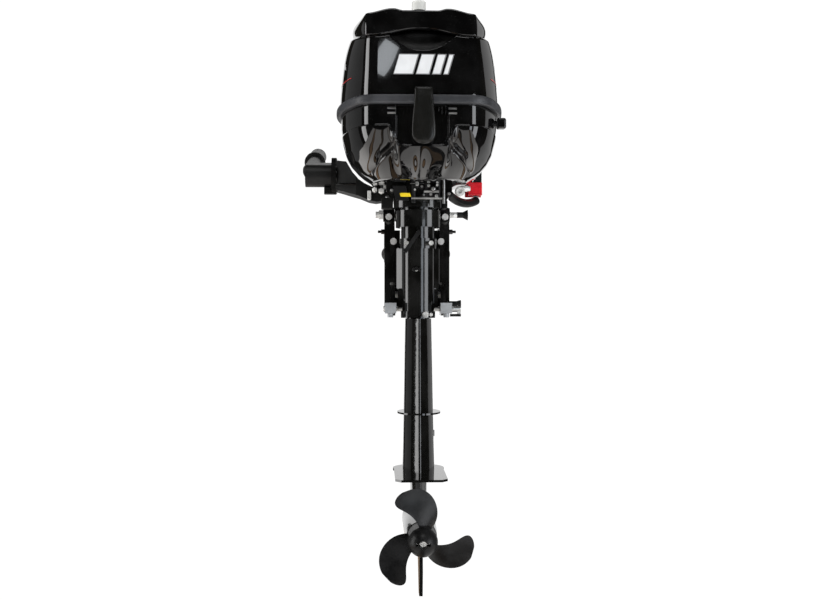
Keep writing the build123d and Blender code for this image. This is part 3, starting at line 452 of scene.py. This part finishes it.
# ---------------------------------------------------------------------------
# Lower cowl. A moulded bowl that is bolted to the engine base. Its rear wall has
# a sunk panel for the latch; two cheeks stand out beside it, and two round lobes
# with a valley between them tuck the bowl in under the engine.
# ---------------------------------------------------------------------------
BOWL_FOOT = 74.0
TOP_SIZES = (137.5, -245.0, 88.0, 115.0, 68.0)
FOOT_SIZES = (86.0, -184.0, 66.0, 50.0, 42.0)
# Height, and how far the flank has come in from the top plan to the foot plan.
FLANK_IN = np.array([(74, 1.0), (82, 0.76), (90, 0.58), (104, 0.36), (120, 0.21), (145, 0.085),
                     (165, 0.01), (200, 0.0)])
PANEL_HALF, PANEL_FOOT, CHEEK_TOP = 44.0, 119.0, 155.0

heights = np.concatenate([np.linspace(191, 158, 14), np.linspace(157, 148, 14), np.linspace(147, 124, 22),
                          np.linspace(123, 112, 14), np.linspace(111, BOWL_FOOT, 34)])[:, None]
top_x, top_y = wall([np.full((1, COLUMNS), size) for size in TOP_SIZES], round_by=11)
foot_x, foot_y = wall([np.full((1, COLUMNS), size) for size in FOOT_SIZES], round_by=24)
aside = np.abs(top_x)
fold = PANEL_FOOT + (CHEEK_TOP - PANEL_FOOT) * smooth(aside, 40.0, 58.0)
below = np.clip((fold - heights) / (fold - BOWL_FOOT), 0, 1)
slope = 0.42 - 0.24 * smooth(aside, 42.0, 70.0)
rear_in = slope * below + (1 - slope) * below ** 2.1
flank_in = np.interp(heights, FLANK_IN[:, 0], FLANK_IN[:, 1])
flank_in = (np.roll(flank_in, 1, 0) + flank_in + np.roll(flank_in, -1, 0)) / 3
flank_in[0], flank_in[-1] = 0.0, 1.0
on_flank = smooth(top_y, -222.0, -150.0)
tuck = rear_in * (1 - on_flank) + flank_in * on_flank
bowl_x = top_x * (1 - tuck) + foot_x * tuck
bowl_y = top_y * (1 - tuck) + foot_y * tuck
rear_share = 1 - smooth(top_y, -236.0, -190.0)
off_middle = np.abs(bowl_x)


def rounded_in(across, up, radius):
    """Depth in mm inside the quarter-plane across > 0, up > 0 whose corner has a radius."""
    return radius - np.hypot(np.maximum(radius - across, 0), np.maximum(radius - up, 0))


# The cheeks stand 6 mm proud of the wall, with a rounded inner top corner.
proud = 6.0 * smooth(rounded_in(off_middle - PANEL_HALF - 2, CHEEK_TOP - heights, 14.0), 0.0, 3.5)
proud *= smooth(heights, 84.0, 128.0) * (1 - 0.7 * smooth(top_y, -225.0, -120.0))
# The latch panel is sunk by 6 mm and has round lower corners.
panel = 6.0 * smooth(rounded_in(PANEL_HALF - off_middle, heights - PANEL_FOOT, 18.0), 0.0, 3.0)
valley = 12.0 * np.exp(-((bowl_x + 4.0) / 9.0) ** 2) * smooth(PANEL_FOOT + 3 - heights, 0.0, 30.0)
# A crease runs out and down from the panel's foot between each cheek and its lobe.
crease_at = np.interp(off_middle, (44.0, 52.0, 73.0, 92.0), (126.0, 120.0, 103.0, 80.0))
crease = 11.0 * np.exp(-np.abs((heights - crease_at) / 7.0) ** 2)
crease *= smooth(off_middle, 40.0, 50.0) * smooth(98.0 - off_middle, 0.0, 14.0) * rear_share
lobe = 8.0 * np.exp(-((off_middle - 42.0) / 30.0) ** 2 - ((heights - 92.0) / 17.0) ** 2) * rear_share
stand = proud - (panel + valley) * rear_share - crease + lobe
side_x, side_y = outward(top_x, top_y)
bowl_x, bowl_y = bowl_x + stand * side_x, bowl_y + stand * side_y
bowl_z = np.repeat(heights, COLUMNS, axis=1)
# The floor runs in from the foot's rounded edge to the engine base: its share of the foot's
# plan and its drop below the foot.
FLOOR_ROWS = ((0.985, -1.6), (0.955, -2.6), (0.90, -3.0), (0.72, -3.0), (0.5, -3.0))
FLOOR_Y = -60.0
floor_part = np.stack([np.stack([bowl_x[-1] * k, (bowl_y[-1] - FLOOR_Y) * k + FLOOR_Y,
                                 bowl_z[-1] + drop], axis=-1) for k, drop in FLOOR_ROWS])
bowl_grid = np.concatenate([np.stack([bowl_x, bowl_y, bowl_z], axis=-1), floor_part])[::-1]
bowl = place("lower_cowl_bowl", grid_mesh("lower_cowl_bowl", bowl_grid / 1000, columns_close=True),
             FINISHES["cowl_gloss"])
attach(bowl, "motor")
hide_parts("lower_cowl")

# ---------------------------------------------------------------------------
# Louvres and latch stops. Small moulded blades and ribs in the latch panel's
# walls; air for the carburettor comes in under the blades. The blades are
# given pale steel as a painted reflection of the white floor in their lower faces.
# ---------------------------------------------------------------------------
def block(name, corner_low, corner_high, material, body, bevel=0.0008, lean=(0.0, 0.0)):
    """A six-sided block between two corners in mm, its top shifted by lean in x and y, with
    bevelled edges."""
    low, high = np.array(corner_low, float), np.array(corner_high, float)
    signs = np.array([(x, y, z) for z in (0, 1) for y in (0, 1) for x in (0, 1)], float)
    points = low + signs * (high - low)
    points[4:, :2] += lean
    faces = [(0, 2, 3, 1), (4, 5, 7, 6), (0, 1, 5, 4), (2, 6, 7, 3), (0, 4, 6, 2), (1, 3, 7, 5)]
    mesh = bpy.data.meshes.new(name)
    mesh.from_pydata(points / 1000, [], faces)
    made = place(name, mesh, material)
    edge = made.modifiers.new("edge", "BEVEL")
    edge.width, edge.segments, edge.harden_normals = bevel, 3, True
    mesh.polygons.foreach_set("use_smooth", np.ones(len(faces), dtype=bool))
    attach(made, body)
    return made


SIDES = ((-1, "port"), (1, "starboard"))
LOUVRE_TOPS = (182.5, 174.5)
# A rib's distance from the middle, its foot and its top.
LATCH_RIBS = ((31, 172, 184), (37, 170, 186), (26, 176, 184))
for side, name in SIDES:
    for k, z in enumerate(LOUVRE_TOPS):
        x0, x1 = sorted((side * 43.0 - 1, side * 57.0 - 1))
        # The blades get the pale steel finish as a painted reflection: moulded black, they would show the
        # white floor in their lower faces.
        painted_reflection_blade = block(f"louvre_{name}_{k}", (x0, -250, z - 3.6), (x1, -241, z), FINISHES["steel"],
                      "motor", lean=(0.0, 3.0))
    for k, (x, z0, z1) in enumerate(LATCH_RIBS):
        rib = block(f"latch_rib_{name}_{k}", (side * x - 0.8, -244.5, z0), (side * x + 0.8, -238, z1),
                    FINISHES["cowl_gloss"], "motor", bevel=0.0005)

# ---------------------------------------------------------------------------
# Cowl latch. A satin moulded strap, 30 mm wide at the top and 39 mm below, with
# a round foot; it turns on a pin at its foot and hooks over the rubber band.
# ---------------------------------------------------------------------------
LATCH_TOP, LATCH_FOOT, LATCH_MIDDLE = 213.0, 120.5, 1.0
way = np.linspace(0, 1, 72)[:, None]
latch_z = LATCH_FOOT + (LATCH_TOP - LATCH_FOOT) * way
half_width = 19.3 - 4.6 * smooth(latch_z, 140.0, 212.0)
half_width *= np.sqrt(np.clip(1 - np.clip((LATCH_FOOT + 17 - latch_z) / 17, 0, 1) ** 2, 1e-6, 1))
half_width *= np.clip(1 - np.clip((latch_z - LATCH_TOP + 3) / 3, 0, 1) ** 2 * 0.12, 0, 1)
round_t = np.linspace(0, 2 * np.pi, 57)[:-1]
# Cross-section |x / a|^3.2 + |y / b|^3.2 = 1.
power = 2 / 3.2
section_x = np.sign(np.cos(round_t)) * np.abs(np.cos(round_t)) ** power
section_y = np.sign(np.sin(round_t)) * np.abs(np.sin(round_t)) ** power
thick = 6.0 * np.sqrt(np.clip(1 - (2 * way - 1) ** 14, 1e-6, 1))
middle_y = -260.2 + 1.8 * smooth(latch_z, 150.0, 120.0) + 0.0 * way
latch_grid = np.stack([LATCH_MIDDLE + half_width * section_x, middle_y + thick * section_y,
                       latch_z + 0 * section_x], axis=-1)
latch = place("latch_strap", grid_mesh("latch_strap", latch_grid / 1000, columns_close=True),
              finish("latch_satin", (0.006, 0.006, 0.0055), 0.24, bump=0.1, shine=0.4))
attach(latch, "latch")
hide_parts("cowl_latch")

# ---------------------------------------------------------------------------
# Graphics. Self-adhesive film: four slanted silver bars with a pale border on the
# rear face, a red line along each flank, and a small pale dash over the line.
# ---------------------------------------------------------------------------
FILM = {"film_silver": finish("film_silver", (0.62, 0.63, 0.64), 0.3, coat=0.6, stain=0.05),
        "film_border": finish("film_border", (0.16, 0.16, 0.165), 0.3, coat=0.6, stain=0.05),
        "film_red": finish("film_red", (0.5, 0.03, 0.03), 0.3, coat=0.6, stain=0.05),
        "film_yellow": finish("film_yellow", (0.75, 0.55, 0.02), 0.35, stain=0.08)}
BAR_FOOT, BAR_HIGH, BAR_LEAN, BAR_GAP = 236.5, 31.0, 9.0, 6.5
BAR_WIDTHS = (30.0, 20.0, 12.0, 6.0)
bar_u, bar_v = np.meshgrid(np.linspace(0, 1, 9), np.linspace(0, 1, 9))
bar_left = -47.0
for k, bar_wide in enumerate(BAR_WIDTHS):
    for film, edge, lift in (("film_border", 1.4, 0.18), ("film_silver", 0.0, 0.3)):
        high = BAR_HIGH + 2 * edge
        x = bar_left - edge + (bar_wide + 2 * edge) * bar_u + BAR_LEAN * (high / BAR_HIGH) * bar_v
        z = BAR_FOOT - edge + high * bar_v
        rear, rear_half = fitted(HOOD, z, 4)[1:3]
        y = rear - CROWN * (1 - (x / rear_half) ** 2) - lift
        bar_grid = np.stack([x, y, z], axis=-1) / 1000
        bar = place(f"{film}_{k}", grid_mesh(f"{film}_{k}", bar_grid), FILM[film])
        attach(bar, "upper_cowl")
    bar_left += bar_wide + BAR_GAP

# Flank films: foot, top, rear end, front end, forward lean and finish.
FLANK_FILMS = ((239.2, 240.8, -190, -95, 0.0, "film_red"),
               (262.0, 274.0, -152, -142, 8.0, "film_silver"))
for side, name in SIDES:
    for z0, z1, y0, y1, lean, film in FLANK_FILMS:
        v = np.linspace(0, 1, 5)[:, None]
        y = y0 + (y1 - y0) * np.linspace(0, 1, 50)[None, :] + lean * v
        z = z0 + (z1 - z0) * v + 0 * y
        half, rear, rear_half = fitted(HOOD, z, 4)[:3]
        radius = ((half - rear_half) ** 2 + (rear - WIDE_Y) ** 2) / (2 * (half - rear_half))
        x = side * (half - radius + np.sqrt(radius ** 2 - (y - WIDE_Y) ** 2) + 0.5)
        grid = np.stack([x, y, z], axis=-1)[:, ::side] / 1000
        line = place(f"{film}_{name}", grid_mesh(f"{film}_{name}", grid), FILM[film])
        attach(line, "upper_cowl")


# ---------------------------------------------------------------------------
# Filler cap. A moulded screw cap with a ribbed rim and a domed top that carries
# the vent screw; only its dome stands above the cowl's channel.
# ---------------------------------------------------------------------------
def lathe(name, profile, origin, axis, material, body, around=48):
    """A turned piece: profile is distance along the axis and radius in mm, from end to end, and
    the axis is x, y or z through the origin. Both ends are closed."""
    points = np.array([(profile[0][0], 0.0), *profile, (profile[-1][0], 0.0)], float)
    along, radius = points[:, :1], points[:, 1:]
    t = np.linspace(0, 2 * np.pi, around + 1)[:-1]
    first, second = radius * np.cos(t), radius * np.sin(t)
    along = along + 0 * first
    order = {"x": (along, first, second), "y": (second, along, first), "z": (first, second, along)}[axis]
    grid = (np.stack(order, axis=-1) + np.array(origin, float)) / 1000
    made = place(name, grid_mesh(name, grid, columns_close=True), material)
    edge = made.modifiers.new("edge", "EDGE_SPLIT")
    edge.split_angle = np.radians(40)
    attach(made, body)
    return made


FILLER_PROFILE = ((343, 27), (343.6, 28.6), (362, 28.6), (366, 26), (369, 20), (371, 15), (377.5, 14),
                  (378.6, 13))
filler = lathe("filler_cap", FILLER_PROFILE, (0, DISH_Y, 0), "z", FINISHES["matte_black"], "filler_cap")
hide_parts("fuel_cap")

# ---------------------------------------------------------------------------
# Linkages and fastenings under the cowl. A blacked sheet-metal guard with a plain
# yellow sticker, plated bolts and unions, the gear rod, and cast bosses.
# ---------------------------------------------------------------------------
# Bosses with their screws: place across and up, radius, length and metal.
FASTENINGS = ((-4, 70, 4.5, 9, "steel"), (4, 66, 3.2, 12, "steel"), (-8, 61, 2.6, 8, "stainless"),
              (16, 68, 4.0, 10, "steel"), (24, 62, 5.0, 12, "steel"), (31, 69, 3.4, 9, "stainless"),
              (20, 53, 3.6, 9, "steel"), (30, 50, 4.4, 8, "steel"), (8, 52, 3.0, 7, "steel"),
              (-48, 60, 3.6, 6, "steel"), (52, 54, 3.8, 7, "steel"), (-52, 78, 3.2, 6, "steel"),
              (36, 79, 3.4, 8, "steel"), (10, 80, 4.2, 9, "steel"), (-22, 79, 3.4, 8, "steel"))
# Upright rods: place across and aft, foot, top, radius and finish.
LINK_RODS = ((43, -113, 37, 84, 2.2, "steel"), (12, -112, 44, 78, 2.6, "matte_black"),
             (-10, -110, 38, 74, 3.4, "matte_black"), (34, -110, 40, 72, 3.0, "matte_black"))
# Level bars: height, ends across and radius. Bracket bolts: place across and up, and radius.
LINK_BARS = ((73, -16, 8, 1.8), (58, 8, 34, 2.4), (46, -14, 40, 2.0))
BRACKET_BOLTS = ((-78, 66, 3.6), (-66, 64, 4.4), (-60, 71, 3.0))

block("linkage_guard", (-41, -113.5, 42), (-18, -111.5, 68), FINISHES["matte_black"], "motor",
      lean=(-6.0, 0.0))
block("guard_sticker", (-32.5, -114.4, 48.5), (-14.5, -113.8, 55), FILM["film_yellow"], "motor",
      bevel=0.0002, lean=(-2.0, 0.0))
for k, (x, z, r, length, metal) in enumerate(FASTENINGS):
    end = -106 - length
    lathe(f"boss_{k}", [(-106, r * 1.35), (-108.5, r * 1.35), (-108.6, r), (end, r), (end - 0.8, r * 0.8)],
          (x, 0, z), "y", FINISHES["matte_black"], "motor", 24)
    lathe(f"screw_{k}", [(end - 0.6, r * 0.72), (end - 2.8, r * 0.72), (end - 3.6, r * 0.5)],
          (x, 0, z), "y", FINISHES[metal], "motor", 6)
for k, (x, y, z0, z1, r, metal) in enumerate(LINK_RODS):
    lathe(f"link_rod_{k}", [(z0, r), (z1, r)], (x, y, 0), "z", FINISHES[metal], "motor", 24)
for k, (z, x0, x1, r) in enumerate(LINK_BARS):
    lathe(f"link_bar_{k}", [(x0, r), (x1, r)], (0, -115, z), "x", FINISHES["steel"], "motor", 24)
lathe("fuel_union", [(-96, 6), (-99, 8.6), (-112, 8.6), (-114, 7.6), (-114.2, 4.2), (-111, 3.8)],
      (71.5, 0, 59), "y", FINISHES["stainless"], "motor", 24)
lathe("union_nozzle", [(74, 5.4), (84, 5.4), (86, 4.4), (90, 4.2)], (0, -105, 64), "x",
      FINISHES["stainless"], "motor", 24)
for k, (x, z, r) in enumerate(BRACKET_BOLTS):
    lathe(f"bracket_bolt_{k}", [(-40, r * 1.3), (-62, r * 1.3), (-63, r), (-68, r)], (x, 0, z), "y",
          FINISHES["stainless"], "motor", 6)

# ---------------------------------------------------------------------------
# Bracket ribs. Inner ribs cast with the clamp brackets, and the sloped ribs of
# the swivel bracket; both are glossy black paint over aluminium.
# ---------------------------------------------------------------------------
# A swivel rib's plan at full size, then its levels and how far each has shrunk to close the ends.
WING_PLAN = np.array([(26.5, -59.5), (38.4, -46.0), (39.2, -43.5), (39.2, -36.0), (26.5, -36.0)])
WING_LEVELS = np.array([-111.0, -111.0, -110.0, -40.0, -39.0, -39.0])[:, None]
WING_SHRINK = np.array([0.0, 0.95, 1.0, 1.0, 0.95, 0.0])[:, None]
for side, name in SIDES:
    x0, x1 = sorted((side * 31.0, side * 41.5))
    rib = block(f"clamp_rib_{name}", (x0, -6.5, -153), (x1, -0.5, -3.5), FINISHES["castings"], "clamp")
    grid = np.stack([side * ((WING_PLAN[:, 0] - 33) * WING_SHRINK + 33),
                     (WING_PLAN[:, 1] + 46) * WING_SHRINK - 46,
                     WING_LEVELS + 0 * WING_PLAN[:, 0]], axis=-1)[:, ::side] / 1000
    wing = place(f"swivel_rib_{name}", grid_mesh(f"swivel_rib_{name}", grid, columns_close=True),
                 FINISHES["castings"])
    wing.data.polygons.foreach_set("use_smooth", np.zeros(len(wing.data.polygons), dtype=bool))
    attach(wing, "swivel")

# ---------------------------------------------------------------------------
# Pulls. The tilt lock's plated sleeve, the black grip and bar on the plated end
# of the thrust rod, and the grease nipples' black dust caps.
# ---------------------------------------------------------------------------
THRUST_ROD_Y = -14
lathe("tilt_lock_sleeve", [(62.5, 4.8), (63, 5.2), (76, 5.2), (76.5, 4.8)], (0, 20, 27), "x",
      FINISHES["stainless"], "tilt_lock")
lathe("thrust_rod_grip", [(55.5, 4.6), (56, 5.0), (73, 5.0), (79.5, 7.0), (80.6, 6.8)],
      (0, THRUST_ROD_Y, -139), "x", FINISHES["matte_black"], "thrust_rod")
block("thrust_rod_bar", (60.6, -19.4, -162.4), (80.5, -8.6, -157.6), FINISHES["matte_black"],
      "thrust_rod")
lathe("thrust_rod_collar", [(58, 5.4), (58.5, 6.0), (79, 6.0), (80.4, 5.2)], (0, THRUST_ROD_Y, -148),
      "x", FINISHES["steel"], "thrust_rod")
for k, x in enumerate((-8.5, -4.0, 1.5)):
    lathe(f"nipple_cap_{k}", [(-84, 2.6), (-90.6, 3.3), (-91.8, 2.6)], (x, 0, -78 + 1.5 * (k % 2)), "y",
          FINISHES["matte_black"], "swivel", 24)

# ---------------------------------------------------------------------------
# Stop switch. A red moulded clip body in front of the ribbed switch, whose ribs
# are picked out in white.
# ---------------------------------------------------------------------------
block("clip_body", (99.5, 50.0, 66.5), (126.5, 54.5, 92), FINISHES["red_plastic"], "stop_clip",
      bevel=0.002)
for k, (x, z) in enumerate(((108, 96), (112, 101), (116, 106))):
    block(f"switch_rib_{k}", (x - 1, 54.6, z - 3.4), (x + 1, 55.8, z + 3.4), FINISHES["white_plastic"],
          "motor", bevel=0.0003, lean=(3.0, 0.0))

# ---------------------------------------------------------------------------
# Fuel cock grip. A square glossy moulding pressed on the end of the fuel cock's
# lever, at the starboard side of the lower cowl.
# ---------------------------------------------------------------------------
block("fuel_cock_grip", (130.5, -167.5, 160.5), (146.5, -148.5, 179.5), FINISHES["cowl_gloss"],
      "fuel_cock", bevel=0.004)

# ---------------------------------------------------------------------------
# Tiller bracket. Lugs, a shelf and a plated boss round the painted bracket, and
# two glossy rims on the flange that the tiller folds against.
# ---------------------------------------------------------------------------
block("base_lug_port", (-66, -60, 33), (-45, -20, 52), FINISHES["bracket_satin"], "motor", bevel=0.002)
block("base_lug_starboard", (44, -60, 33), (53, -20, 48), FINISHES["bracket_satin"], "motor",
      bevel=0.002)
block("bracket_shelf", (-149, -30, 78), (-110, 40, 81), FINISHES["cowl_gloss"], "motor")
block("bracket_boss", (-91, -46.5, 49), (-84.5, -36, 66), FINISHES["stainless"], "motor", bevel=0.0015)
# A rim's two ends and its radius.
for k, (x0, x1, r) in enumerate(((-150.5, -147.5, 33), (-146.5, -143.5, 29.5))):
    lathe(f"flange_rim_{k}", [(x0, r - 1), (x0 + 0.6, r), (x1 - 0.6, r), (x1, r - 1)], (0, 30, 100), "x",
          FINISHES["cowl_gloss"], "motor")
